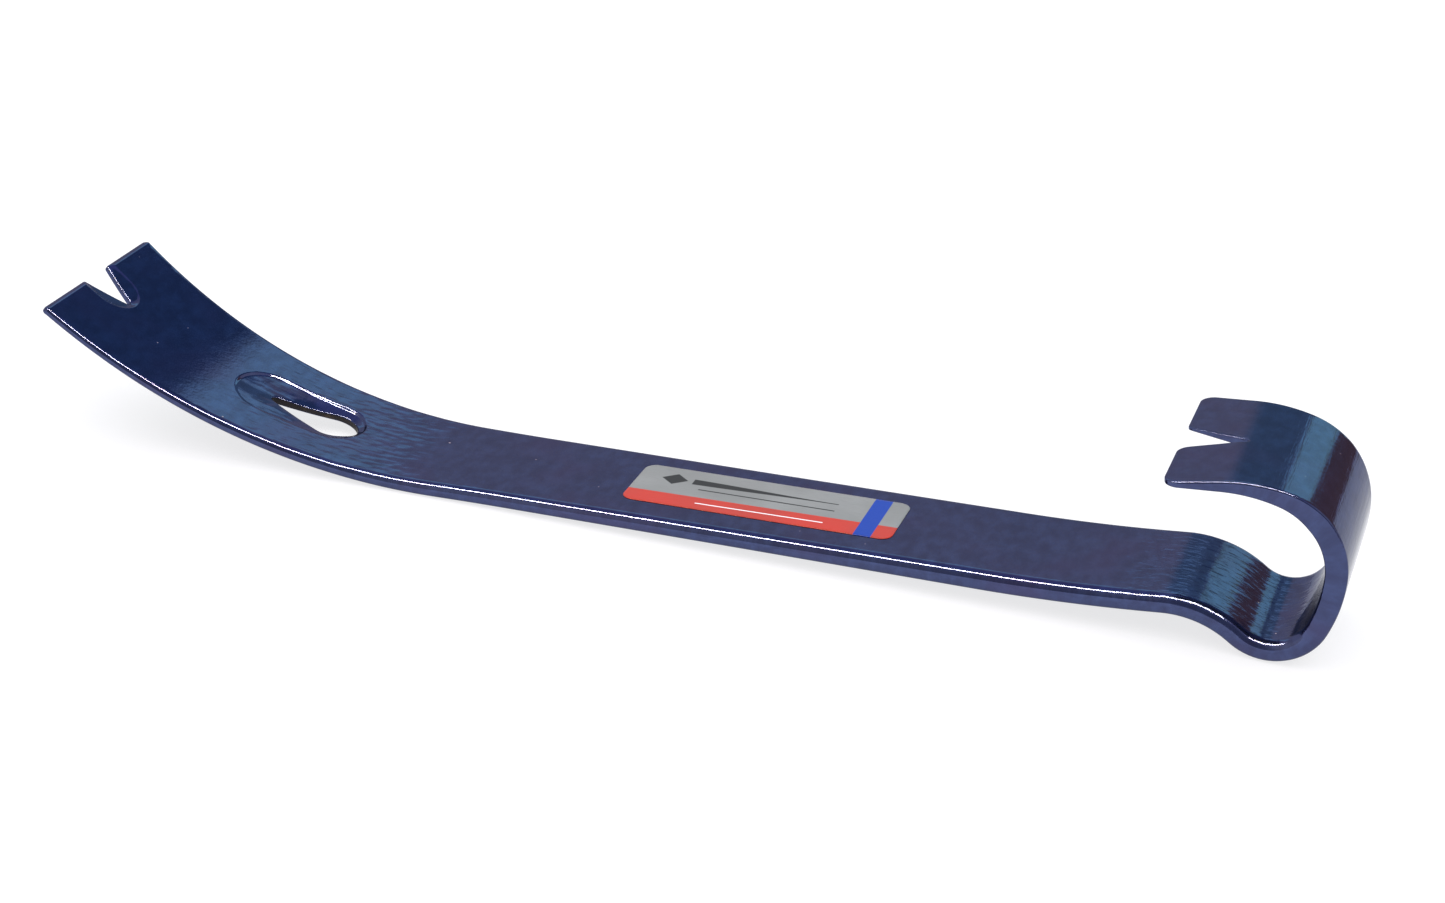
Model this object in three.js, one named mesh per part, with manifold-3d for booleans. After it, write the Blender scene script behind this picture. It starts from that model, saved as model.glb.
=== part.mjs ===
// A flat pry bar: one drop-forged and painted steel bar, with a printed label stuck to its shank.
// Millimetres, +Z up. The bar lies as it rests on a bench, on the belly of its blade and on its heel,
// with the claw at -X and the hook at +X. Its origin is at the middle of its box, at the bottom.
//
// The bar is described flat first: by the distance along its centreline from the claw tip, the distance
// across it, and the height through it. It is then bent along the centreline, as the real one is forged.
import * as THREE from 'three';
import { mergeVertices } from 'three/addons/utils/BufferGeometryUtils.js';
import Module from 'manifold-3d';

// The centreline, from the claw tip to the hook tip. A positive turn, in degrees, curls the bar upwards.
const centreline = [
  { name: 'claw blade', radius: 187.5, turn: 39.2, steps: 14 },
  { name: 'shank', length: 164, steps: 7 },
  { name: 'kick', radius: 549, turn: 5.1, steps: 3 },
  { name: 'dip', radius: 30.4, turn: -42.2, steps: 8 },
  { name: 'heel', radius: 13.8, turn: 104.7, steps: 16 },
  { name: 'back', radius: 49.1, turn: 20.1, steps: 5 },
  { name: 'crown', radius: 22.2, turn: 75.9, steps: 12 },
  { name: 'lead-out', radius: 46.6, turn: 19.9, steps: 4 },
  { name: 'hook tip', length: 15, steps: 3 },
];

// How far the shank rises towards the hook when the belly and the heel both touch the bench, in degrees.
const restTilt = 1.76;

// The section of the bar.
const shankWidth = 44.8;
const barThickness = 6.1;
const edgeRadius = 2.6;
// Where the bar is thin, its edge radius is this share of its thickness.
const edgeShare = 0.48;

// The blade is drawn out thinner and wider towards the claw tip.
const bladeRootThickness = 4.5;
const clawTipThickness = 2.5;
const clawTipWidth = 62.5;
const clawFlareLength = 148;

// The hook is drawn out thinner and wider towards its tip.
const hookTipThickness = 1.5;
const hookThinningLength = 42.5;
const hookTipWidth = 62.5;
const hookFlareLength = 98.5;
const flarePower = 1.5;

// The two tips. A nail notch is cut through each, and a bevel widens it towards the inside of the curve.
// The depth of a notch is measured from the tip, and the height of its bevel through the metal.
const clawTip = {
  width: clawTipWidth,
  cornerRadius: 1.8,
  mouthRadius: 1.2,
  notch: { mouth: 6.9, depth: 13.8, root: 1.2 },
  bevel: { mouth: 8.8, depth: 15.6, root: 8.3 },
  bevelHeight: 0.9,
};
const hookTip = {
  width: hookTipWidth,
  cornerRadius: 4,
  mouthRadius: 2.8,
  notch: { mouth: 7.2, depth: 17.5, root: 0.8 },
  bevel: { mouth: 9, depth: 20.5, root: 3 },
  bevelHeight: 0.8,
};

// The claw's end is ground to a chamfer on the inside of the curve.
const chamferLength = 1.3;
const chamferDepth = 1;

// The teardrop nail slot, and the sloping seat round it for a nail's head.
const slotRound = { along: 86.7, radius: 7.6 };
const slotNarrow = { along: 67.6, radius: 1.6 };
const seatRound = { along: 86, radius: 10.8 };
const seatNarrow = { along: 65.4, radius: 11.4 };
const seatDepth = 1.9;

// The label, and where its middle is. It lies this gap clear of the shank's face.
const labelLength = 80.3;
const labelWidth = 25.2;
const labelCornerRadius = 3.6;
const labelThickness = 0.3;
const labelGap = 0.3;
const labelAlong = 222.7;
const labelAcross = 1.1;

// The bar is swept this far past its tips, and then trimmed.
const tipAllowance = 1.5;
// Cutters start and end this far outside the metal, and one that widens a cut lies this far inside it.
const clearance = 0.6;
const inset = 0.15;

// How many steps each round stretch is made of.
const steps = {
  edge: 2,
  tipCorner: 4,
  notchRoot: 8,
  slotRound: 12,
  slotNarrow: 8,
  slotSide: 4,
  labelCorner: 3,
};

// Paint and print, as they look under plain light.
const enamel = { color: 0x1b2560, roughness: 0.22, metalness: 0.35 };
const print = { color: 0xa8a9a8, roughness: 0.35, metalness: 0.4 };

const wasm = await Module();
wasm.setup();

const radians = THREE.MathUtils.degToRad;
const { lerp, mapLinear } = THREE.MathUtils;

// The point and the heading at a distance into a run of the centreline.
function followRun(run, distance) {
  const { x, z, heading, curvature } = run;
  if (curvature === 0) {
    return { x: x + distance * Math.cos(heading), z: z + distance * Math.sin(heading), heading };
  }
  const turned = heading + distance * curvature;
  return {
    x: x + (Math.sin(turned) - Math.sin(heading)) / curvature,
    z: z - (Math.cos(turned) - Math.cos(heading)) / curvature,
    heading: turned,
  };
}

// The runs of the centreline, each with where it starts and which way it heads there.
function layOutRuns() {
  const laid = [];
  let along = 0;
  let start = { x: 0, z: 0, heading: radians(restTilt - centreline[0].turn) };
  for (const run of centreline) {
    const length = run.length ?? run.radius * Math.abs(radians(run.turn));
    const curvature = run.length ? 0 : Math.sign(run.turn) / run.radius;
    const placed = { ...run, ...start, along, length, curvature };
    laid.push(placed);
    start = followRun(placed, length);
    along += length;
  }
  return laid;
}

const runs = layOutRuns();
const barLength = runs.at(-1).along + runs.at(-1).length;
const shank = runs.find((run) => run.name === 'shank');
const shankEnd = shank.along + shank.length;

function centrelineAt(along) {
  const run = runs.findLast((candidate) => candidate.along <= along) ?? runs[0];
  return followRun(run, along - run.along);
}

function widthAt(along) {
  const claw = Math.max(0, 1 - along / clawFlareLength) ** flarePower;
  const hook = Math.max(0, 1 - (barLength - along) / hookFlareLength) ** flarePower;
  return shankWidth + (clawTipWidth - shankWidth) * claw + (hookTipWidth - shankWidth) * hook;
}

function thicknessAt(along) {
  if (along < shank.along) return lerp(clawTipThickness, bladeRootThickness, along / shank.along);
  if (along < shankEnd) return mapLinear(along, shank.along, shankEnd, bladeRootThickness, barThickness);
  const thinning = Math.max(0, 1 - (barLength - along) / hookThinningLength);
  return lerp(barThickness, hookTipThickness, thinning);
}

// Takes a point of the flat bar to its place on the bent one.
function bend(along, across, height) {
  const { x, z, heading } = centrelineAt(along);
  return new THREE.Vector3(x - height * Math.sin(heading), across, z + height * Math.cos(heading));
}

function moveVertices(geometry, move) {
  const position = geometry.attributes.position;
  for (let i = 0; i < position.count; i += 1) {
    const point = move(position.getX(i), position.getY(i), position.getZ(i));
    position.setXYZ(i, point.x, point.y, point.z);
  }
  return geometry;
}

function toManifold(geometry) {
  const bare = geometry.clone();
  bare.deleteAttribute('normal');
  bare.deleteAttribute('uv');
  const merged = mergeVertices(bare, 1e-4);
  const mesh = new wasm.Mesh({
    numProp: 3,
    vertProperties: merged.attributes.position.array,
    triVerts: Uint32Array.from(merged.index.array),
  });
  return new wasm.Manifold(mesh);
}

function toGeometry(manifold) {
  const mesh = manifold.getMesh();
  const geometry = new THREE.BufferGeometry();
  geometry.setAttribute('position', new THREE.BufferAttribute(mesh.vertProperties, 3));
  geometry.setIndex(new THREE.BufferAttribute(mesh.triVerts, 1));
  geometry.computeVertexNormals();
  return geometry;
}

function roundedRectangle(length, width, radius) {
  const x = length / 2 - radius;
  const y = width / 2 - radius;
  const shape = new THREE.Shape();
  shape.absarc(x, y, radius, 0, Math.PI / 2);
  shape.absarc(-x, y, radius, Math.PI / 2, Math.PI);
  shape.absarc(-x, -y, radius, Math.PI, 1.5 * Math.PI);
  shape.absarc(x, -y, radius, 1.5 * Math.PI, 2 * Math.PI);
  shape.closePath();
  return shape;
}

// Where along the bar its section is set: at the ends of each run's steps, and past each tip.
function sectionStations() {
  const stations = [-tipAllowance, 0];
  for (const run of runs) {
    for (let step = 1; step <= run.steps; step += 1) {
      stations.push(run.along + (run.length * step) / run.steps);
    }
  }
  stations.push(barLength + tipAllowance);
  return stations;
}

// A straight bar of the shank's section, with a step for each station. Each step's section is then
// stretched to the width and thickness at its station, which keeps the edges round, and bent to its place.
function sweptBar() {
  const stations = sectionStations();
  const depth = stations.length - 1;
  const section = roundedRectangle(shankWidth, barThickness, edgeRadius);
  const options = { depth, steps: depth, curveSegments: steps.edge, bevelEnabled: false };
  const bar = new THREE.ExtrudeGeometry(section, options);
  return moveVertices(bar, (across, height, step) => {
    const along = stations[Math.round(step)];
    const thickness = thicknessAt(along);
    const radius = Math.min(edgeRadius, edgeShare * thickness);
    const stretch = (value, nominal, size) => {
      const intoCorner = (Math.abs(value) - (nominal / 2 - edgeRadius)) / edgeRadius;
      return Math.sign(value) * (size / 2 - radius + radius * intoCorner);
    };
    const wide = stretch(across, shankWidth, widthAt(along));
    return bend(along, wide, stretch(height, barThickness, thickness));
  });
}

// Points round an arc, with both of its ends.
function arcPoints(x, y, radius, from, to, count) {
  const points = [];
  for (let step = 0; step <= count; step += 1) {
    const angle = lerp(from, to, step / count);
    points.push(new THREE.Vector2(x + radius * Math.cos(angle), y + radius * Math.sin(angle)));
  }
  return points;
}

// One corner of an outline, rounded off between the points before and after it.
function roundedCorner(before, corner, after, radius) {
  const back = before.clone().sub(corner).normalize();
  const on = after.clone().sub(corner).normalize();
  const half = Math.acos(THREE.MathUtils.clamp(back.dot(on), -1, 1)) / 2;
  const middle = back.clone().add(on).normalize();
  const centre = corner.clone().addScaledVector(middle, radius / Math.sin(half));
  const first = corner.clone().addScaledVector(back, radius / Math.tan(half)).sub(centre);
  const last = corner.clone().addScaledVector(on, radius / Math.tan(half)).sub(centre);
  const sweep = Math.atan2(first.cross(last), first.dot(last));
  return arcPoints(centre.x, centre.y, radius, first.angle(), first.angle() + sweep, steps.tipCorner);
}

// The edge of a V notch from one side of its mouth, round its root, to the other. Distances along it are
// from the tip. Its flanks touch the arc of its root, and run on past the tip when past isn't 0.
function notchEdge({ mouth, depth, root }, past) {
  const centre = depth - root;
  const slant = Math.atan2(mouth, centre) - Math.asin(root / Math.hypot(mouth, centre));
  const wide = mouth + past * Math.tan(slant);
  const start = Math.PI / 2 - slant;
  return [
    new THREE.Vector2(-past, wide),
    ...arcPoints(centre, 0, root, start, -start, steps.notchRoot),
    new THREE.Vector2(-past, -wide),
  ];
}

// What is trimmed off a tip: all that lies past its end, outside its round corners and in its notch.
function tipTrimOutline(tip) {
  const past = 2 * tipAllowance;
  const side = tip.width / 2;
  const [mouth, ...flanks] = notchEdge(tip.notch, 0);
  const otherMouth = flanks.pop();
  const corner = new THREE.Vector2(0, side);
  const otherCorner = new THREE.Vector2(0, -side);
  const inward = new THREE.Vector2(tip.cornerRadius, side);
  const otherInward = new THREE.Vector2(tip.cornerRadius, -side);
  return [
    new THREE.Vector2(-past, side + past),
    new THREE.Vector2(tip.cornerRadius, side + past),
    ...roundedCorner(inward, corner, mouth, tip.cornerRadius),
    ...roundedCorner(corner, mouth, flanks[0], tip.mouthRadius),
    ...flanks,
    ...roundedCorner(flanks.at(-1), otherMouth, otherCorner, tip.mouthRadius),
    ...roundedCorner(otherMouth, otherCorner, otherInward, tip.cornerRadius),
    new THREE.Vector2(tip.cornerRadius, -side - past),
    new THREE.Vector2(-past, -side - past),
  ];
}

// The outline round two circles on the bar's middle line, with straight sides that touch both.
function teardrop(narrow, round) {
  const lean = Math.PI / 2 + Math.asin((round.radius - narrow.radius) / (round.along - narrow.along));
  const roundEnd = arcPoints(round.along, 0, round.radius, -lean, lean, steps.slotRound);
  const narrowEnd = arcPoints(narrow.along, 0, narrow.radius, lean, 2 * Math.PI - lean, steps.slotNarrow);
  const side = (from, to) => {
    const points = [];
    for (let step = 1; step < steps.slotSide; step += 1) {
      points.push(from.clone().lerp(to, step / steps.slotSide));
    }
    return points;
  };
  return [
    ...roundEnd,
    ...side(roundEnd.at(-1), narrowEnd[0]),
    ...narrowEnd,
    ...side(narrowEnd.at(-1), roundEnd[0]),
  ];
}

// A cutter whose wall runs from one outline, at the first level, to another at level 0, which is the face
// on the inside of the curve, and on past it by the clearance. Both outlines have as many points.
function cutter(lower, upper, from, place) {
  const grow = 1 + clearance / Math.abs(from);
  const shape = new THREE.Shape(lower);
  const blank = new THREE.ExtrudeGeometry(shape, { depth: 1, steps: 1, bevelEnabled: false });
  moveVertices(blank, (x, y, layer) => {
    const flat = new THREE.Vector2(x, y);
    if (layer < 0.5) return place(x, y, from);
    const nearest = lower.reduce((best, point, i) => (
      point.distanceTo(flat) < lower[best].distanceTo(flat) ? i : best
    ), 0);
    const end = lower[nearest].clone().lerp(upper[nearest], grow);
    return place(end.x, end.y, clearance);
  });
  return toManifold(blank);
}

// Places for the cutters. Levels are heights over the face on the inside of the curve.
const fromInside = (along, across, level) => bend(along, across, thicknessAt(along) / 2 + level);
const fromHookTip = (along, across, level) => fromInside(barLength - along, -across, level);

function trimTip(bar, tip, place) {
  const outline = tipTrimOutline(tip);
  const { mouth, depth, root } = tip.notch;
  const smaller = { mouth: mouth - inset, depth: depth - inset, root: root - inset };
  const narrow = notchEdge(smaller, tipAllowance);
  const wide = notchEdge(tip.bevel, tipAllowance);
  const through = cutter(outline, outline, -barThickness, place);
  return bar.subtract(through).subtract(cutter(narrow, wide, -tip.bevelHeight, place));
}

function chamferClaw(bar) {
  const strip = (end) => [
    new THREE.Vector2(-tipAllowance, -clawTipWidth),
    new THREE.Vector2(end, -clawTipWidth),
    new THREE.Vector2(end, clawTipWidth),
    new THREE.Vector2(-tipAllowance, clawTipWidth),
  ];
  return bar.subtract(cutter(strip(0), strip(chamferLength), -chamferDepth, fromInside));
}

function cutNailSlot(bar) {
  const smaller = (circle) => ({ ...circle, radius: circle.radius - inset });
  const slot = teardrop(slotNarrow, slotRound);
  const floor = teardrop(smaller(slotNarrow), smaller(slotRound));
  const seat = teardrop(seatNarrow, seatRound);
  const through = cutter(slot, slot, -barThickness, fromInside);
  return bar.subtract(through).subtract(cutter(floor, seat, -seatDepth, fromInside));
}

function forgedBar() {
  let bar = toManifold(sweptBar());
  bar = trimTip(bar, clawTip, fromInside);
  bar = trimTip(bar, hookTip, fromHookTip);
  bar = chamferClaw(bar);
  bar = cutNailSlot(bar);
  const mesh = new THREE.Mesh(toGeometry(bar), new THREE.MeshStandardMaterial(enamel));
  mesh.name = 'forged_bar';
  return mesh;
}

// A thin plate that lies along the face of the shank, which slopes a little as the bar gets thicker.
function label() {
  const shape = roundedRectangle(labelLength, labelWidth, labelCornerRadius);
  const options = { depth: labelThickness, curveSegments: steps.labelCorner, bevelEnabled: false };
  const plate = new THREE.ExtrudeGeometry(shape, options);
  const mesh = new THREE.Mesh(plate, new THREE.MeshStandardMaterial(print));
  const start = fromInside(labelAlong - labelLength / 2, labelAcross, labelGap);
  const end = fromInside(labelAlong + labelLength / 2, labelAcross, labelGap);
  mesh.position.copy(start.clone().lerp(end, 0.5));
  mesh.rotation.y = -Math.atan2(end.z - start.z, end.x - start.x);
  mesh.name = 'label';
  return mesh;
}

const pryBar = new THREE.Group();
pryBar.add(forgedBar(), label());

const box = new THREE.Box3().setFromObject(pryBar);
const middle = box.getCenter(new THREE.Vector3());
pryBar.position.set(-middle.x, -middle.y, -box.min.z);

export default pryBar;
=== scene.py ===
import math
import bpy
import numpy as np
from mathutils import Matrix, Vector, kdtree, noise
from mathutils.geometry import delaunay_2d_cdt


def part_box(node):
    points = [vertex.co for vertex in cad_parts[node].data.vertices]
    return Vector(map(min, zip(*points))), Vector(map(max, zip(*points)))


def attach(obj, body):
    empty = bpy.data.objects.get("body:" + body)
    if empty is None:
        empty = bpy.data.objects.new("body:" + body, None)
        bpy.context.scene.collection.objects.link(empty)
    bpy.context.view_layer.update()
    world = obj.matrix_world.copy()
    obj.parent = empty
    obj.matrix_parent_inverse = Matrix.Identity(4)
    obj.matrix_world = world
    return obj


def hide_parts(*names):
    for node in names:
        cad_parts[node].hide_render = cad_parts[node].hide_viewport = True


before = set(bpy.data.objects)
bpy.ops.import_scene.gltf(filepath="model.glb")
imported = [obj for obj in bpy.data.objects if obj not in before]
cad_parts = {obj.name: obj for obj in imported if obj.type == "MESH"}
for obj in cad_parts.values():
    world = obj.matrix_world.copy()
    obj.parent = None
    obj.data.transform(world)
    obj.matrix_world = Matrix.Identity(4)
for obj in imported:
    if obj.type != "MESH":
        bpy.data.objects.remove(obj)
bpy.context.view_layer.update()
barLow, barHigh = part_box("forged_bar")
print("frame loaded")

mm = 0.001


# a shader socket, so that shader maths can be written as expressions
class Wire:
    def __init__(self, tree, socket=None):
        self.tree = tree
        self.socket = socket

    # settings come first, then the values or links of the sockets
    def node(self, kind, settings=None, sockets=None, output=0):
        made = self.tree.nodes.new("ShaderNode" + kind)
        for name, value in (settings or {}).items():
            setattr(made, name, value)
        for name, value in (sockets or {}).items():
            if isinstance(value, Wire):
                self.tree.links.new(value.socket, made.inputs[name])
            else:
                made.inputs[name].default_value = value
        return Wire(self.tree, made.outputs[output] if made.outputs else None)

    def math(self, operation, *values):
        return self.node("Math", {"operation": operation}, dict(enumerate(values)))

    def __add__(self, other):
        return self.math("ADD", self, other)

    def __sub__(self, other):
        return self.math("SUBTRACT", self, other)

    def __rsub__(self, other):
        return self.math("SUBTRACT", other, self)

    def __mul__(self, other):
        return self.math("MULTIPLY", self, other)

    __radd__ = __add__
    __rmul__ = __mul__

    # 0 below start, 1 above end, and smooth between
    def rise(self, start, end):
        return self.node("MapRange", {"interpolation_type": "SMOOTHSTEP"},
                         {"Value": self, "From Min": start, "From Max": end})

    # 1 between low and high, with edges of that softness
    def band(self, low, high, soft):
        return self.rise(low - soft, low + soft) * (1 - self.rise(high - soft, high + soft))

    def grain(self, scale, detail=3.0, roughness=0.55, stretch=(1, 1, 1)):
        spread = self.node("VectorMath", {"operation": "MULTIPLY"}, {0: self, 1: stretch})
        return self.node("TexNoise", {}, {"Vector": spread, "Scale": scale, "Detail": detail,
                                          "Roughness": roughness})

    # this colour where mask is 0, and the other where it is 1
    def mixed(self, other, mask):
        return mixColours(self.tree, self, other, mask)

    def parts(self):
        split = self.node("SeparateXYZ", {}, {0: self})
        made = split.socket.node
        return [Wire(self.tree, socket) for socket in made.outputs]


def mixColours(tree, first, second, mask):
    blank = Wire(tree)
    asColour = [value if isinstance(value, Wire) else (*value, 1) for value in (first, second)]
    mixed = blank.node("Mix", {"data_type": "RGBA"}, {0: mask}, 2)
    node = mixed.socket.node
    for index, value in zip((6, 7), asColour):
        if isinstance(value, Wire):
            tree.links.new(value.socket, node.inputs[index])
        else:
            node.inputs[index].default_value = value
    return mixed


def newMaterial(name, constants):
    material = bpy.data.materials.new(name)
    material.use_nodes = True
    tree = material.node_tree
    shader = tree.nodes["Principled BSDF"]
    for socket, value in constants.items():
        shader.inputs[socket].default_value = value
    return material, Wire(tree), shader


def feed(shader, **wires):
    for name, wire in wires.items():
        socket = {"colour": "Base Color", "roughness": "Roughness", "metallic": "Metallic",
                  "coat": "Coat Weight", "normal": "Normal"}[name]
        wire.tree.links.new(wire.socket, shader.inputs[socket])


camera = {"place": (0.23589, -0.74554, 0.37643), "turn": (65.458, -3.216, 18.300), "lens": 74.55}


def makeCamera():
    data = bpy.data.cameras.new("camera")
    data.lens = camera["lens"]
    data.sensor_width = 36
    data.clip_end = 20
    made = bpy.data.objects.new("camera", data)
    made.location = camera["place"]
    made.rotation_euler = [math.radians(angle) for angle in camera["turn"]]
    bpy.context.scene.collection.objects.link(made)
    bpy.context.scene.camera = made


# A white studio whose far side is dimmer, with a tall cool soft box and a wide one behind the bar and
# dark flags beside them. Angles are in degrees: azimuth from +Y towards +X, and elevation.
studio = {
    "background": (0.96, 0.96, 0.96),
    "walls": (0.76, 0.71, 0.74),
    "front": (1.0, 0.92, 0.85), "frontRight": (0.26, 0.27, 0.34), "frontEdge": (-0.42, -0.12),
    "frontFade": (0.1, 0.6),
    "overhead": (0.32, 0.34, 0.65), "overheadFade": (38, 60),
    # each patch's softness is in degrees too, and a later patch lies over an earlier one
    "patches": {
        "navyFlag": {"azimuth": (-2, 40), "elevation": (29, 60), "soft": 2.5,
                     "colour": (0.067, 0.175, 0.33)},
        "greyFlag": {"azimuth": (-11, 5), "elevation": (10, 29), "soft": 2, "colour": (0.27, 0.45, 0.54)},
        "redFlag": {"azimuth": (18, 32), "elevation": (-2, 29), "soft": 0.8, "colour": (0.38, 0.20, 0.17)},
        "wideBox": {"azimuth": (-60, -2), "elevation": (28.9, 38), "soft": 2, "colour": (0.97, 1.54, 1.52)},
        "tallBox": {"azimuth": (5, 18), "elevation": (6, 28.5), "soft": 0.7, "colour": (0.92, 1.70, 1.55)},
    },
}


def makeWorld():
    world = bpy.data.worlds.new("studio")
    bpy.context.scene.world = world
    world.use_nodes = True
    tree = world.node_tree
    tree.nodes.clear()
    wire = Wire(tree)
    direction = wire.node("TexCoord", {}, {}, 0)
    x, y, z = direction.parts()
    degrees = 180 / math.pi
    azimuth = wire.math("ARCTAN2", x, y) * degrees
    elevation = wire.math("ARCSINE", z) * degrees
    near = mixColours(tree, studio["front"], studio["frontRight"], x.rise(*studio["frontEdge"]))
    colour = mixColours(tree, studio["walls"], near, (0 - y).rise(*studio["frontFade"]))
    colour = colour.mixed(studio["overhead"], elevation.rise(*studio["overheadFade"]))
    for patch in studio["patches"].values():
        soft = patch["soft"]
        mask = azimuth.band(*patch["azimuth"], soft) * elevation.band(*patch["elevation"], soft)
        colour = colour.mixed(patch["colour"], mask)
    seen = wire.node("LightPath", {}, {}, 0)
    colour = colour.mixed(studio["background"], seen)
    background = wire.node("Background", {}, {"Color": colour})
    wire.node("OutputWorld", {}, {"Surface": background})


# a wide panel that lights diffuse surfaces and throws no shadow, and a narrow strip that only gloss sees
lights = {
    "panel": {"place": (0.1, -0.1, 1.6), "size": (3.2, 3.2), "watts": 52, "colour": (1, 0.985, 0.95),
              "gloss": False},
    "strip": {"place": (-0.1, -0.36, 1.1), "size": (1.7, 0.075), "watts": 60, "colour": (1, 0.80, 0.46),
              "gloss": True},
}


def makeLights():
    for name, light in lights.items():
        data = bpy.data.lights.new(name, "AREA")
        data.shape = "RECTANGLE"
        data.size, data.size_y = light["size"]
        data.energy = light["watts"]
        data.color = light["colour"]
        data.use_shadow = light["gloss"]
        made = bpy.data.objects.new(name, data)
        made.location = light["place"]
        made.visible_camera = False
        made.visible_diffuse = not light["gloss"]
        made.visible_glossy = light["gloss"]
        bpy.context.scene.collection.objects.link(made)


# the paper glows strongly, which keeps its shadows faint
floor = {
    "size": 12.0, "colour": (0.30, 0.30, 0.30), "fibre": (0.32, 0.32, 0.32), "glow": 0.72,
    "drop": 0.02 * mm,
}


def makeFloor():
    half = floor["size"] / 2
    mesh = bpy.data.meshes.new("floor")
    corners = [(-half, -half), (half, -half), (half, half), (-half, half)]
    mesh.from_pydata([(x, y, -floor["drop"]) for x, y in corners], [], [(0, 1, 2, 3)])
    made = bpy.data.objects.new("floor", mesh)
    bpy.context.scene.collection.objects.link(made)
    material, wire, shader = newMaterial("floorPaper", {
        "Specular IOR Level": 0.1, "Emission Color": (1, 1, 1, 1), "Emission Strength": floor["glow"],
    })
    place = wire.node("TexCoord", {}, {}, 3)
    fibre = place.grain(40.0, 2.0)
    pale = mixColours(wire.tree, floor["colour"], floor["fibre"], fibre)
    feed(shader, colour=pale, roughness=0.75 + fibre * 0.15)
    mesh.materials.append(material)


makeCamera()
makeWorld()
makeLights()
makeFloor()
bpy.context.scene.view_settings.view_transform = "Standard"
print("camera, studio and floor made")


# The forged bar is laid out flat, in millimetres, and then bent. Along runs from the claw tip, across is
# +Y, and height is towards the inside of the curve.
bar = {
    # radius and turn in degrees of each bend, or the length of a straight run
    "runs": [(187.5, 39.2), 164, (549, 5.1), (30.4, -42.2), (13.8, 104.7), (49.1, 20.1),
             (22.2, 75.9), (46.6, 19.9), 15],
    "restTilt": 1.76,
    "shankWidth": 44.8, "clawWidth": 62.5, "hookWidth": 62.5,
    "clawFlare": 148, "hookFlare": 98.5, "flarePower": 1.5,
    "clawThickness": 2.5, "bladeThickness": 4.5, "thickness": 6.1,
    "hookThickness": 1.5, "hookThinning": 42.5,
    "edgeRadius": 2.6, "edgeShare": 0.48, "hookEdgeRadius": 0.6, "hookStart": 385, "hookBlend": 25,
    "chamferLength": 1.3, "chamferDepth": 1.0, "bevelStep": 0.16, "bevelStepWidth": 0.6, "foot": 0.2,
    "bevelReach": 6, "chamferReach": 4,
    # the least thickness, and the room kept clear beside the rounded edges
    "least": 0.12, "gap": 0.35,
    "spacing": 1.15, "mediumSpacing": 0.72, "fineSpacing": 0.36, "edgeSpacing": 0.9, "rings": 5,
}
clawTip = {
    "corner": 1.8, "mouthCorners": (1.2, 1.2), "edge": 0.32,
    "notch": {"mouth": 6.9, "depth": 13.8, "root": 1.2},
    "bevel": {"mouth": 8.8, "depth": 15.6, "root": 8.3}, "bevelHeight": 0.9,
}
hookTip = {
    "corner": 4.0, "mouthCorners": (4.5, 2.5), "edge": 0.3,
    "notch": {"mouth": 7.2, "depth": 17.5, "root": 0.8},
    "bevel": {"mouth": 9, "depth": 20.5, "root": 3}, "bevelHeight": 0.8,
}
slot = {
    "hole": ((67.6, 1.6), (86.7, 7.6)), "seat": ((65.4, 11.4), (86.0, 10.8)),
    "depth": 1.9, "step": 0.62, "stepWidth": 0.8, "edge": 0.3,
    # the near side's share of the step and the slope, and the narrow end's share of the slope
    "nearStep": 0.25, "nearSlope": 0.45, "narrowSlope": 0.4,
    # where the near side passes into the far one, and the narrow end into the round one
    "across": (-7, 2), "along": (66, 80),
}


def followRun(start, curvature, distance):
    x, z, heading = start
    if curvature == 0:
        return x + distance * math.cos(heading), z + distance * math.sin(heading), heading
    turned = heading + distance * curvature
    return (x + (math.sin(turned) - math.sin(heading)) / curvature,
            z - (math.cos(turned) - math.cos(heading)) / curvature, turned)


def layOutRuns():
    laid = []
    along = 0.0
    start = (0.0, 0.0, math.radians(bar["restTilt"] - bar["runs"][0][1]))
    for run in bar["runs"]:
        bent = isinstance(run, tuple)
        length = run[0] * abs(math.radians(run[1])) if bent else run
        curvature = math.copysign(1 / run[0], run[1]) if bent else 0.0
        laid.append((along, start, curvature))
        start = followRun(start, curvature, length)
        along += length
    return laid, along


runs, barLength = layOutRuns()
bladeEnd = runs[1][0]
shankEnd = runs[2][0]


def bend(along, across, height):
    begin, start, curvature = [run for run in runs if run[0] <= along or run is runs[0]][-1]
    x, z, heading = followRun(start, curvature, along - begin)
    return Vector((x - height * math.sin(heading), across, z + height * math.cos(heading)))


def widthAt(along):
    claw = max(0.0, 1 - along / bar["clawFlare"]) ** bar["flarePower"]
    hook = max(0.0, 1 - (barLength - along) / bar["hookFlare"]) ** bar["flarePower"]
    wide = bar["shankWidth"]
    return wide + (bar["clawWidth"] - wide) * claw + (bar["hookWidth"] - wide) * hook


def thicknessAt(along):
    if along < bladeEnd:
        return bar["clawThickness"] + (bar["bladeThickness"] - bar["clawThickness"]) * along / bladeEnd
    if along < shankEnd:
        share = (along - bladeEnd) / (shankEnd - bladeEnd)
        return bar["bladeThickness"] + (bar["thickness"] - bar["bladeThickness"]) * share
    thinning = max(0.0, 1 - (barLength - along) / bar["hookThinning"])
    return bar["thickness"] + (bar["hookThickness"] - bar["thickness"]) * thinning


def sideRadius(along):
    radius = min(bar["edgeRadius"], bar["edgeShare"] * thicknessAt(along))
    onHook = min(1, max(0, (along - bar["hookStart"]) / bar["hookBlend"]))
    return radius + (min(radius, bar["hookEdgeRadius"]) - radius) * onHook


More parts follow.
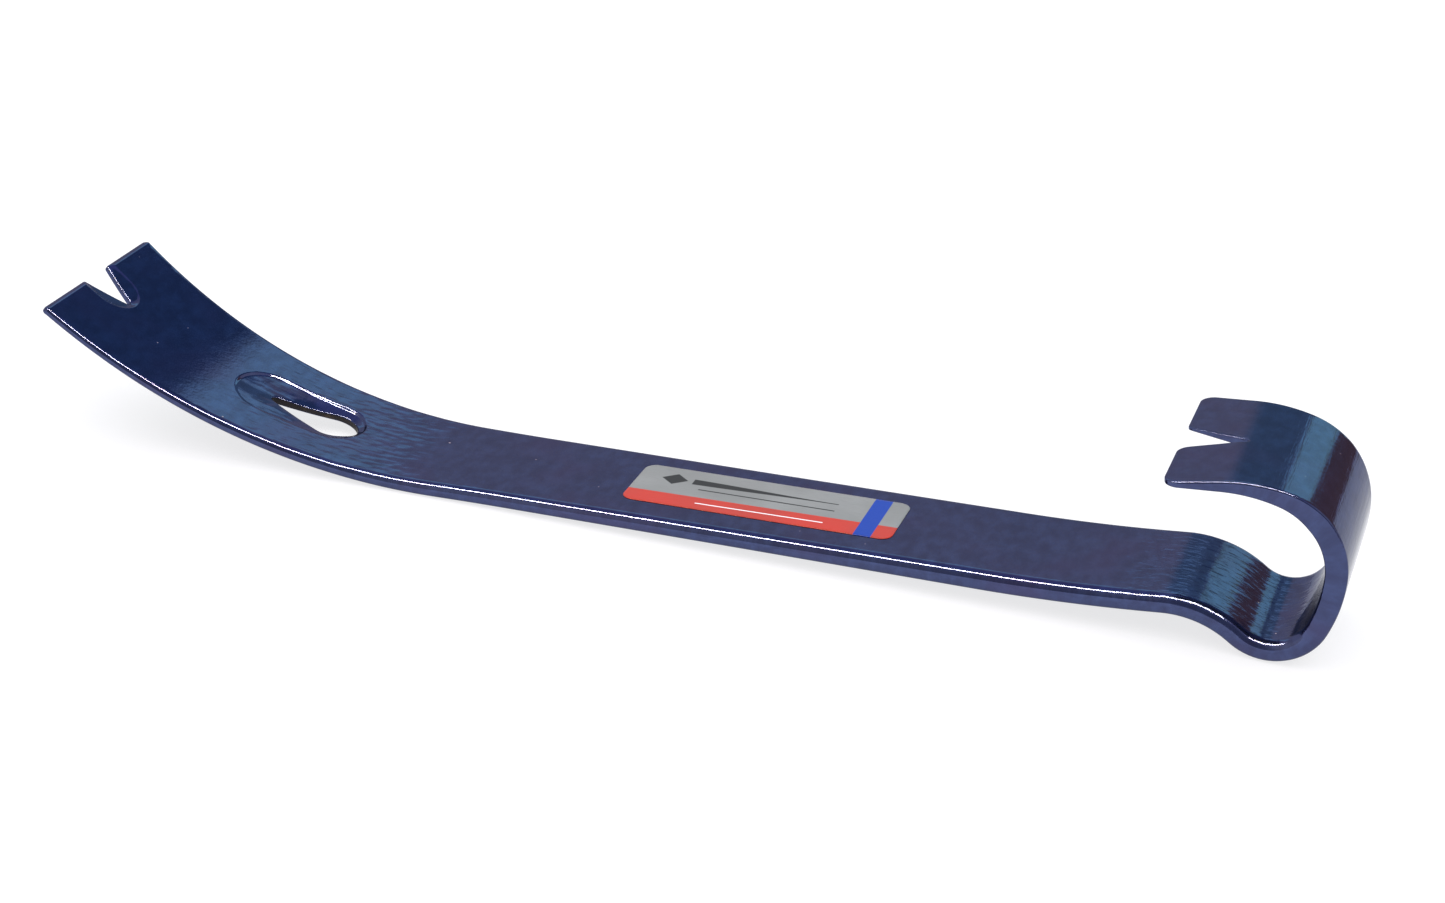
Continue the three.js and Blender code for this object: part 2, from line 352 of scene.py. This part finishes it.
def arc(centre, radius, start, sweep, spacing):
    steps = max(3, math.ceil(abs(sweep) * radius / spacing))
    angles = [start + sweep * step / steps for step in range(steps + 1)]
    return [Vector((centre.x + radius * math.cos(a), centre.y + radius * math.sin(a))) for a in angles]


def roundCorner(before, corner, after, radius):
    back = (before - corner).normalized()
    on = (after - corner).normalized()
    half = math.acos(max(-1, min(1, back.dot(on)))) / 2
    centre = corner + (back + on).normalized() * radius / math.sin(half)
    first = corner + back * radius / math.tan(half) - centre
    last = corner + on * radius / math.tan(half) - centre
    sweep = math.atan2(first.x * last.y - first.y * last.x, first.dot(last))
    return arc(centre, radius, math.atan2(first.y, first.x), sweep, 0.4)


def notchRoot(notch):
    centre = notch["depth"] - notch["root"]
    reach = math.hypot(notch["mouth"], centre)
    return centre, math.atan2(notch["mouth"], centre) - math.asin(notch["root"] / reach)


# the end of a tip from its +side corner to its other one, at distances from the tip
def tipEnd(tip, halfWidth):
    centre, slant = notchRoot(tip["notch"])
    opening = math.pi / 2 - slant
    root = arc(Vector((centre, 0)), tip["notch"]["root"], opening, -2 * opening, 0.3)
    corner, otherCorner = Vector((0, halfWidth)), Vector((0, -halfWidth))
    mouth, otherMouth = Vector((0, tip["notch"]["mouth"])), Vector((0, -tip["notch"]["mouth"]))
    inward = Vector((tip["corner"] + 1, 0))
    firstRound, lastRound = tip["mouthCorners"]
    return [
        *roundCorner(corner + inward, corner, mouth, tip["corner"]),
        *roundCorner(corner, mouth, root[0], firstRound),
        *root,
        *roundCorner(root[-1], otherMouth, otherCorner, lastRound),
        *roundCorner(otherMouth, otherCorner, otherCorner + inward, tip["corner"]),
    ]


# points along a closed outline, evenly spaced between its corners, each with its edge radius
def evenly(points, radii, spacing):
    outline, edges = [], []
    for i, point in enumerate(points):
        after = points[(i + 1) % len(points)]
        steps = max(1, round((after - point).length / spacing))
        for step in range(steps):
            share = step / steps
            outline.append(point.lerp(after, share))
            edges.append(radii[i] * (1 - share) + radii[(i + 1) % len(points)] * share)
    return outline, edges


def outerOutline():
    points, radii = [], []

    def addTip(tip, place, corner):
        for point in tipEnd(tip, widthAt(corner) / 2):
            placed = place(point)
            onSide = min(1, point.x / tip["corner"]) if abs(point.y) > bar["shankWidth"] / 2 else 0
            points.append(placed)
            radii.append(tip["edge"] + (sideRadius(placed.x) - tip["edge"]) * onSide)

    def addSide(start, end, sign):
        steps = round(abs(end - start) / bar["edgeSpacing"])
        for step in range(1, steps):
            along = start + (end - start) * step / steps
            points.append(Vector((along, sign * widthAt(along) / 2)))
            radii.append(sideRadius(along))

    clawSide, hookSide = clawTip["corner"], barLength - hookTip["corner"]
    addTip(clawTip, lambda p: Vector((p.x, p.y)), clawSide)
    addSide(clawSide, hookSide, -1)
    addTip(hookTip, lambda p: Vector((barLength - p.x, -p.y)), hookSide)
    addSide(hookSide, clawSide, 1)
    return evenly(points, radii, bar["edgeSpacing"])


def slotOutline():
    (narrowAt, narrow), (roundAt, wide) = slot["hole"]
    lean = math.pi / 2 + math.asin((wide - narrow) / (roundAt - narrowAt))
    points = arc(Vector((roundAt, 0)), wide, -lean, 2 * lean, 0.5)
    points += arc(Vector((narrowAt, 0)), narrow, lean, 2 * (math.pi - lean), 0.3)
    return evenly(points, [slot["edge"]] * len(points), 0.5)


# distance outside the outline round two circles on the middle line
def outsideTeardrop(points, circles):
    (narrowAt, narrow), (roundAt, wide) = circles
    reach = roundAt - narrowAt
    lean = (narrow - wide) / reach
    rise = math.sqrt(1 - lean * lean)
    u, v = points[:, 0] - narrowAt, np.abs(points[:, 1])
    k = -lean * v + rise * u
    flank = rise * v + lean * u - narrow
    result = np.where(k > rise * reach, np.hypot(u - reach, v) - wide, flank)
    return np.where(k < 0, np.hypot(u, v) - narrow, result)


# distance outside a notch that opens at the tip, for points at distances from the tip
def outsideNotch(fromTip, across, notch):
    centre, slant = notchRoot(notch)
    u, v = fromTip - centre, np.abs(across)
    onFlank = -u * math.cos(slant) + v * math.sin(slant) > 0
    return np.where(onFlank, u * math.sin(slant) + v * math.cos(slant), np.hypot(u, v)) - notch["root"]


# a ramp that is 0 for negative values and rounded over its foot
def ramp(value, width):
    return (value + np.sqrt(value * value + width * width)) / 2


def smooth(value):
    value = np.clip(value, 0, 1)
    return value * value * (3 - 2 * value)


def between(value, low, high):
    return smooth((value - low) / (high - low))


# how far the inside face is sunk: the slot's seat, the notches' bevels and the claw's chamfer.
# The seat drops in a small step at its rim, and then slopes to the hole. It is shallow on its -Y side.
def sunk(points):
    hole = np.maximum(0, outsideTeardrop(points, slot["hole"]))
    rim = -outsideTeardrop(points, slot["seat"])
    share = np.maximum(0, rim) / (np.maximum(0, rim) + hole + 1e-6)
    far = between(points[:, 1], *slot["across"])
    step = slot["step"] * smooth(rim / slot["stepWidth"]) * (slot["nearStep"] + (1 - slot["nearStep"]) * far)
    wide = between(points[:, 0], *slot["along"])
    slope = (slot["depth"] - slot["step"]) * share * (slot["nearSlope"] + (1 - slot["nearSlope"]) * far)
    slope = slope * (slot["narrowSlope"] + (1 - slot["narrowSlope"]) * wide)
    depth = step + slope
    for tip, fromTip in ((clawTip, points[:, 0]), (hookTip, barLength - points[:, 0])):
        inner = np.maximum(0, outsideNotch(fromTip, points[:, 1], tip["notch"]))
        outer = ramp(-outsideNotch(fromTip, points[:, 1], tip["bevel"]), bar["foot"])
        part = outer / (outer + inner + 1e-6) * np.clip((outer - 0.02) / 0.1, 0, 1)
        rimStep = smooth(outer / bar["bevelStepWidth"])
        bevel = (tip["bevelHeight"] - bar["bevelStep"]) * part + bar["bevelStep"] * rimStep
        depth = np.maximum(depth, np.where(fromTip < tip["bevel"]["depth"] + bar["bevelReach"], bevel, 0))
    chamfer = ramp(bar["chamferLength"] - points[:, 0], bar["foot"]) / bar["chamferLength"]
    return np.maximum(depth, np.where(points[:, 0] < bar["chamferReach"], bar["chamferDepth"] * chamfer, 0))


# distance from each point to the nearest edge, and that edge's radius
def nearestEdge(points, loops):
    starts, ends, startEdges, endEdges = [], [], [], []
    for outline, edges in loops:
        corners = np.array([tuple(p) for p in outline])
        starts.append(corners)
        ends.append(np.roll(corners, -1, axis=0))
        startEdges.append(np.array(edges))
        endEdges.append(np.roll(np.array(edges), -1))
    start, end = np.concatenate(starts), np.concatenate(ends)
    startEdge, endEdge = np.concatenate(startEdges), np.concatenate(endEdges)
    before = np.concatenate([np.roll(np.arange(len(c)), 1) + sum(len(d) for d in starts[:i])
                             for i, c in enumerate(starts)])
    tree = kdtree.KDTree(len(start))
    for i, corner in enumerate(start):
        tree.insert((*corner, 0), i)
    tree.balance()
    nearest = np.array([tree.find((*point, 0))[1] for point in points])
    best = np.full(len(points), 1e9)
    radius = np.zeros(len(points))
    for pick in (nearest, before[nearest]):
        span = end[pick] - start[pick]
        offset = points - start[pick]
        at = np.clip((offset * span).sum(1) / (span ** 2).sum(1), 0, 1)
        distance = np.hypot(*(offset - at[:, None] * span).T)
        edge = startEdge[pick] * (1 - at) + endEdge[pick] * at
        radius = np.where(distance < best, edge, radius)
        best = np.minimum(best, distance)
    return best, radius


def insideLoop(points, outline):
    start = np.array([tuple(p) for p in outline])
    end = np.roll(start, -1, axis=0)
    inside = np.zeros(len(points), bool)
    for (x1, y1), (x2, y2) in zip(start, end):
        if y1 != y2:
            crosses = (points[:, 1] < y1) != (points[:, 1] < y2)
            at = x1 + (points[:, 1] - y1) * (x2 - x1) / (y2 - y1)
            inside ^= crosses & (points[:, 0] < at)
    return inside


# rings of points on the rounded edge, inwards from an outline
def edgeRings(outline, edges, inward):
    count = len(outline)
    rings = []
    for ring in range(1, bar["rings"] + 1):
        share = 1 - math.cos(math.pi / 2 * ring / bar["rings"])
        for i, point in enumerate(outline):
            tangent = outline[(i + 1) % count] - outline[i - 1]
            normal = Vector((-tangent.y, tangent.x)).normalized() * inward
            rings.append((point + normal * edges[i] * share, edges[i] * share))
    return rings


# where the marks are along the bar and how far they spread, and how high each kind is
hammer = {
    "slotAt": 90, "slotSpread": 32, "slotSwell": 0.05, "slotWave": 0.07,
    "heelAt": 362, "heelSpread": 24, "heelStreak": 0.03, "heelSwell": 0.02,
    "overall": 0.006, "lean": (0.94, 0.34), "slant": 0.36, "underShare": 0.35,
    "edgeFade": 2.5, "edgeLeast": 0.12,
}


# how much the hammer marks lift the face: strong round the slot's seat, and in the dip and the heel
def hammerMarks(along, across):
    nearSlot = math.exp(-((along - hammer["slotAt"]) / hammer["slotSpread"]) ** 4)
    nearHeel = math.exp(-((along - hammer["heelAt"]) / hammer["heelSpread"]) ** 4)
    lean = along * hammer["lean"][0] + across * hammer["lean"][1]
    swell = noise.noise(Vector((lean / 9, across / 5, 1.7)))
    wave = noise.noise(Vector((lean / 3.6, (across - along * hammer["slant"]) / 2.0, 4.1)))
    streak = noise.noise(Vector((along / 3.4, across / 2.1, 8.3)))
    slotLift = nearSlot * (hammer["slotSwell"] * swell + hammer["slotWave"] * wave)
    heelLift = nearHeel * (hammer["heelStreak"] * streak + hammer["heelSwell"] * swell)
    return slotLift + heelLift + hammer["overall"] * swell, max(nearSlot, nearHeel)


# rows of points that spacing apart, shifted by half in every other row, where the zone holds
def zoneGrid(spacing, zone):
    rows = np.arange(int(bar["clawWidth"] / (spacing * math.sqrt(3) / 2)) + 1)
    steps = np.arange(int(barLength / spacing) + 1)
    across = rows[:, None] * spacing * math.sqrt(3) / 2 - bar["clawWidth"] / 2
    across = across.repeat(len(steps), axis=1)
    along = steps[None] * spacing + spacing / 2 * (rows[:, None] % 2)
    points = np.column_stack([along.ravel(), across.ravel()])
    return points[zone(points)]


# stretches along the bar, and reaches from a rim or bevel edge, that get closer points
zones = {"medium": ((46, 138), (330, 398)), "rim": 1.3, "bevel": 1.1, "bevelEnd": 20, "tip": 2.2}


# a fine grid on rims and bevels, a medium one where the face is hammered or tightly bent, and a coarse one
def gridZones(outer, hole):
    def inFace(points):
        return insideLoop(points, outer) & ~insideLoop(points, hole)

    def fine(points):
        rim = np.abs(outsideTeardrop(points, slot["seat"]) + slot["stepWidth"] / 2) < zones["rim"]
        bevel = np.abs(outsideNotch(points[:, 0], points[:, 1], clawTip["bevel"])) < zones["bevel"]
        return rim | (bevel & (points[:, 0] < zones["bevelEnd"])) | (points[:, 0] < zones["tip"])

    def medium(points):
        along = points[:, 0]
        return np.any([(along > low) & (along < high) for low, high in zones["medium"]], axis=0)

    return [
        (bar["fineSpacing"], lambda p: fine(p) & inFace(p)),
        (bar["mediumSpacing"], lambda p: medium(p) & ~fine(p) & inFace(p)),
        (bar["spacing"], lambda p: ~medium(p) & ~fine(p) & inFace(p)),
    ]


def barMesh():
    outer, outerEdges = outerOutline()
    hole, holeEdges = slotOutline()
    loops = [(outer, outerEdges), (hole, holeEdges)]
    area = sum(a.x * b.y - a.y * b.x for a, b in zip(outer, outer[1:] + outer[:1]))
    inward = 1 if area > 0 else -1
    rings = edgeRings(outer, outerEdges, inward) + edgeRings(hole, holeEdges, -1)
    ringPoints = np.array([tuple(p) for p, gap in rings])
    ringGaps = np.array([gap for p, gap in rings])
    distance = nearestEdge(ringPoints, loops)[0]
    ringPoints = ringPoints[np.abs(distance - ringGaps) < 0.02]
    print("edges laid out", len(outer), len(ringPoints))

    grid = np.concatenate([zoneGrid(spacing, zone) for spacing, zone in gridZones(outer, hole)])
    distance, radius = nearestEdge(grid, loops)
    grid = grid[distance > radius + bar["gap"]]

    outlines = [tuple(p) for p in outer] + [tuple(p) for p in hole]
    first = len(outer)
    borders = [(i, (i + 1) % first) for i in range(first)]
    borders += [(first + i, first + (i + 1) % len(hole)) for i in range(len(hole))]
    flat = [Vector(p) for p in outlines + [tuple(p) for p in ringPoints] + [tuple(p) for p in grid]]
    points, _, faces, sources, _, _ = delaunay_2d_cdt(flat, borders, [], 0, 1e-5, True)
    spots = np.array([tuple(p) for p in points])
    middles = np.array([spots[list(face)].mean(0) for face in faces])
    kept = insideLoop(middles, outer) & ~insideLoop(middles, hole)
    faces = [face for face, keep in zip(faces, kept) if keep]
    place = {source: i for i, found in enumerate(sources) for source in found}
    print("face cut into", len(faces), "triangles")

    distance, radius = nearestEdge(spots, loops)
    reach = np.clip(radius - distance, 0, None)
    fallen = radius - np.sqrt(np.clip(radius ** 2 - reach ** 2, 0, None))
    half = np.array([thicknessAt(along) / 2 for along in spots[:, 0]])
    lowest = fallen - half
    highest = np.maximum(half - sunk(spots) - fallen, lowest + bar["least"])
    marks = [hammerMarks(*spot) for spot in spots]
    lift = np.array([mark[0] for mark in marks])
    forged = [mark[1] for mark in marks]
    flatness = np.clip(distance / hammer["edgeFade"], hammer["edgeLeast"], 1)
    highest += lift * flatness
    lowest -= hammer["underShare"] * lift * flatness

    count = len(spots)
    vertices = [bend(a, c, h) for (a, c), h in zip(spots, highest)]
    vertices += [bend(a, c, h) for (a, c), h in zip(spots, lowest)]
    faceList = []
    for face in faces:
        faceList.append(tuple(face))
        faceList.append(tuple(count + i for i in reversed(face)))
    places = [(a, c, 1.0) for a, c in spots] + [(a, c, -1.0) for a, c in spots]
    marked = forged + [0.5 * value for value in forged]
    # the hole's wall is marked as bare metal, which the paint also darkens with painted shade
    bareShadedWall = [0.0] * (2 * count)
    for i in range(first, first + len(hole)):
        bareShadedWall[place[i]] = bareShadedWall[count + place[i]] = 1.0
    for begin, end in borders:
        a, b = place[begin], place[end]
        quad = (a, b, count + b, count + a)
        flipped = inward > 0 and begin < first
        faceList.append(quad[::-1] if flipped else quad)
    return vertices, faceList, places, {"hammered": marked, "bareShadedWall": bareShadedWall}


def addMesh(name, vertices, faces, places, marks):
    mesh = bpy.data.meshes.new(name)
    mesh.from_pydata([v * mm for v in vertices], [], faces)
    mesh.update()
    for face in mesh.polygons:
        face.use_smooth = True
    spread = mesh.attributes.new("place", "FLOAT_VECTOR", "POINT")
    spread.data.foreach_set("vector", [value for spot in places for value in spot])
    for mark, values in marks.items():
        mesh.attributes.new(mark, "FLOAT", "POINT").data.foreach_set("value", values)
    made = bpy.data.objects.new(name, mesh)
    bpy.context.scene.collection.objects.link(made)
    return made


def attribute(wire, name, output):
    return wire.node("Attribute", {"attribute_name": name}, {}, output)


# colours, and the stretches with lengthways marks in the dip and crossways ones on the crown. The scale and
# rust colours make the hole's wall near black: partly the bare metal's own scale and rust, and partly
# painted shade inside the hole
paint = {
    "deep": (0.045, 0.055, 0.128), "bright": (0.060, 0.080, 0.186), "violet": (0.064, 0.058, 0.14),
    "speck": (0.45, 0.36, 0.4), "scale": (0.012, 0.009, 0.010), "shadedRust": (0.05, 0.032, 0.018),
    "dip": (328, 398, 8), "crown": (404, 446, 6),
}


def enamel():
    material, wire, shader = newMaterial("blueEnamel", {
        "Coat Roughness": 0.035, "Coat IOR": 1.42, "Specular Tint": (0.45, 0.46, 0.5, 1),
    })
    place = attribute(wire, "place", 1)
    hammered = attribute(wire, "hammered", 2)
    bareShadedWall = attribute(wire, "bareShadedWall", 2).rise(0.15, 0.75)
    along = place.parts()[0]
    cloud = place.grain(0.035, 3.0, 0.5)
    mottle = place.grain(0.3, 4.0, 0.6, (1, 0.6, 1))
    drawn = place.grain(0.6, 3.0, 0.6, (0.4, 1, 1))
    peel = place.grain(0.9, 2.0, 0.5)
    colour = mixColours(wire.tree, paint["deep"], paint["bright"], mottle.rise(0.3, 0.75))
    colour = colour.mixed(paint["violet"], cloud.rise(0.45, 0.7) * 0.55)
    cells = wire.node("TexVoronoi", {"feature": "F1"}, {"Vector": place, "Scale": 0.11, "Randomness": 1.0})
    thinned = place.grain(0.19, 0.0).rise(0.42, 0.54)
    dust = (1 - cells.rise(0.025, 0.05)) * thinned
    colour = colour.mixed(paint["speck"], dust * 0.7)
    # the hole's wall: bare metal's scale and rust, darkened to near black as painted shade inside the hole
    shadedFlakes = mixColours(wire.tree, paint["scale"], paint["shadedRust"], mottle.rise(0.5, 0.7))
    colour = colour.mixed(shadedFlakes, bareShadedWall)
    ripples = place.grain(0.26, 1.0, 0.4, (0.55, 1.7, 1)) * hammered
    lengthways = place.grain(0.4, 2.0, 0.5, (0.7, 1.5, 1)) * along.band(*paint["dip"])
    crossways = place.grain(0.8, 3.0, 0.6, (1, 0.06, 1)) * along.band(*paint["crown"])
    ripple = ripples * 0.45 + lengthways * 0.4 + crossways * 0.25
    feed(shader, colour=colour, roughness=0.07 + 0.06 * mottle + 0.04 * hammered + 0.45 * bareShadedWall,
         metallic=(0.92 - dust * 0.6) * (1 - bareShadedWall), coat=0.2 - 0.2 * bareShadedWall,
         normal=wire.node("Bump", {}, {"Strength": 0.7, "Distance": 0.5 * mm,
                                       "Height": ripple + peel * 0.06 + drawn * 0.05}))
    return material


def forgedBar():
    vertices, faces, places, marks = barMesh()
    low = Vector([min(v[axis] for v in vertices) for axis in range(3)])
    high = Vector([max(v[axis] for v in vertices) for axis in range(3)])
    middle = (barLow.x + barHigh.x) / 2 / mm
    move = Vector((middle - (low.x + high.x) / 2, 0, barLow.z / mm - low.z))
    made = addMesh("forgedBar", [v + move for v in vertices], faces, places, marks)
    made.data.materials.append(enamel())
    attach(made, "root")
    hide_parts("forged_bar")
    return move


barMove = forgedBar()
print("bar forged and painted")


# the label: a printed vinyl sticker that lies on the shank
label = {
    "length": 80.3, "width": 25.2, "corner": 3.6, "along": 222.7, "across": 1.1,
    "thickness": 0.16, "lift": 0.03, "spacing": 0.8, "rimThickness": 0.6, "rimWidth": 0.12, "clear": 0.5,
    "redEdge": (-4.1, -3.0), "stripe": (252.0, 257.2),
    "silver": (0.245, 0.249, 0.243), "red": (0.53, 0.036, 0.022), "blue": (0.0, 0.042, 0.34),
    "paleSilver": (0.29, 0.294, 0.288), "darkSilver": (0.21, 0.214, 0.21), "fadedRed": (0.43, 0.042, 0.03),
    "ink": (0.02, 0.02, 0.022), "white": (0.85, 0.83, 0.82), "soft": 0.07,
    # the plain rules and the lozenge: where they lie along the bar, their half widths, and how far across
    "rule": (199, 243), "ruleAcross": 4.9, "taperFrom": 196, "taperOver": 46,
    "thinRule": (202, 243), "thinHalf": 0.3, "thinDrop": 4.6,
    "lozenge": 193.4, "lozengeHalf": 3.6,
    "paleRule": (204, 242), "paleHalf": 0.28, "paleDrop": 3.9,
}


def stickerMesh():
    x, y = label["length"] / 2 - label["corner"], label["width"] / 2 - label["corner"]
    outline = []
    for turn, (sx, sy) in enumerate(((1, 1), (-1, 1), (-1, -1), (1, -1))):
        outline += arc(Vector((sx * x, sy * y)), label["corner"], turn * math.pi / 2, math.pi / 2, 0.5)
    outline, _ = evenly(outline, [0] * len(outline), label["spacing"])
    count = len(outline)
    inner = [p * (1 - label["rimWidth"] / p.length) for p in outline]
    grid = []
    steps = int(label["length"] / label["spacing"])
    rows = int(label["width"] / label["spacing"])
    for row in range(1, rows):
        for step in range(1, steps):
            point = Vector((step / steps - 0.5, row / rows - 0.5))
            grid.append(Vector((point.x * label["length"], point.y * label["width"])))
    spots = np.array([tuple(p) for p in grid])
    clear = insideLoop(spots, outline) & (nearestEdge(spots, [(outline, [0] * count)])[0] > label["clear"])
    flat = outline + inner + [p for p, keep in zip(grid, clear) if keep]
    borders = [(i, (i + 1) % count) for i in range(count)]
    points, _, faces, sources, _, _ = delaunay_2d_cdt(flat, borders, [], 1, 1e-5, True)
    place = {source: i for i, found in enumerate(sources) for source in found}
    rim = {place[i] for i in range(count)}
    top, bottom, places = [], [], []
    for i, point in enumerate(points):
        along, across = label["along"] + point.x, label["across"] + point.y
        face = thicknessAt(along) / 2 + label["lift"]
        full = label["thickness"] * (label["rimThickness"] if i in rim else 1)
        top.append(bend(along, across, face + full) + barMove)
        bottom.append(bend(along, across, face) + barMove)
        places.append((along, across, 1.0))
    total = len(points)
    sides = [tuple(face) for face in faces]
    sides += [tuple(total + i for i in reversed(face)) for face in faces]
    sides += [(place[b], place[a], total + place[a], total + place[b]) for a, b in borders]
    return top + bottom, sides, places * 2


def vinyl():
    material, wire, shader = newMaterial("printedVinyl", {
        "Coat Weight": 0.05, "Coat Roughness": 0.12, "Specular IOR Level": 0.15,
    })
    place = attribute(wire, "place", 1)
    along, across, _ = place.parts()
    start = label["along"] - label["length"] / 2
    low, high = label["redEdge"]
    boundary = low + (along - start) * ((high - low) / label["length"])
    soft = label["soft"]
    red = 1 - (across - boundary).rise(-soft, soft)
    stripe = along.band(*label["stripe"], soft)
    grain = place.grain(2.2, 4.0, 0.65, (0.15, 1, 1))
    cloud = place.grain(0.05, 2.0)
    silver = mixColours(wire.tree, label["silver"], label["paleSilver"], cloud.rise(0.3, 0.7))
    silver = silver.mixed(label["darkSilver"], grain.rise(0.45, 0.8) * 0.4)
    # a long tapered rule with a lozenge at its end, and a thin rule under it
    middle = label["across"] + label["ruleAcross"]
    fromRule = wire.math("ABSOLUTE", across - middle)
    taper = 0.25 + 1.5 * (1 - (along - label["taperFrom"]).rise(0, label["taperOver"]))
    rule = (1 - (fromRule - taper).rise(-soft, soft)) * along.band(*label["rule"], soft)
    lozenge = wire.math("ABSOLUTE", along - label["lozenge"]) * 0.9 + fromRule
    mark = wire.math("MAXIMUM", rule, 1 - (lozenge - label["lozengeHalf"]).rise(-soft, soft))
    thin = (across - (middle - label["thinDrop"])).band(-label["thinHalf"], label["thinHalf"], soft)
    thin = thin * along.band(*label["thinRule"], soft)
    silver = silver.mixed(label["ink"], wire.math("MAXIMUM", mark, thin))
    pale = (across - boundary + label["paleDrop"]).band(-label["paleHalf"], label["paleHalf"], soft)
    pale = pale * along.band(*label["paleRule"], soft)
    redInk = mixColours(wire.tree, label["red"], label["fadedRed"], cloud.rise(0.35, 0.75))
    redInk = redInk.mixed(label["white"], pale)
    colour = silver.mixed(redInk, red).mixed(label["blue"], stripe)
    printed = wire.math("MAXIMUM", red, stripe)
    feed(shader, colour=colour, roughness=0.33 + grain * 0.12, metallic=0.3 * (1 - printed),
         normal=wire.node("Bump", {}, {"Strength": 0.15, "Distance": 0.05 * mm, "Height": grain}))
    return material


def sticker():
    vertices, faces, places = stickerMesh()
    made = addMesh("printedLabel", vertices, faces, places, {})
    made.data.materials.append(vinyl())
    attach(made, "root")
    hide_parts("label")


sticker()
print("label stuck on")
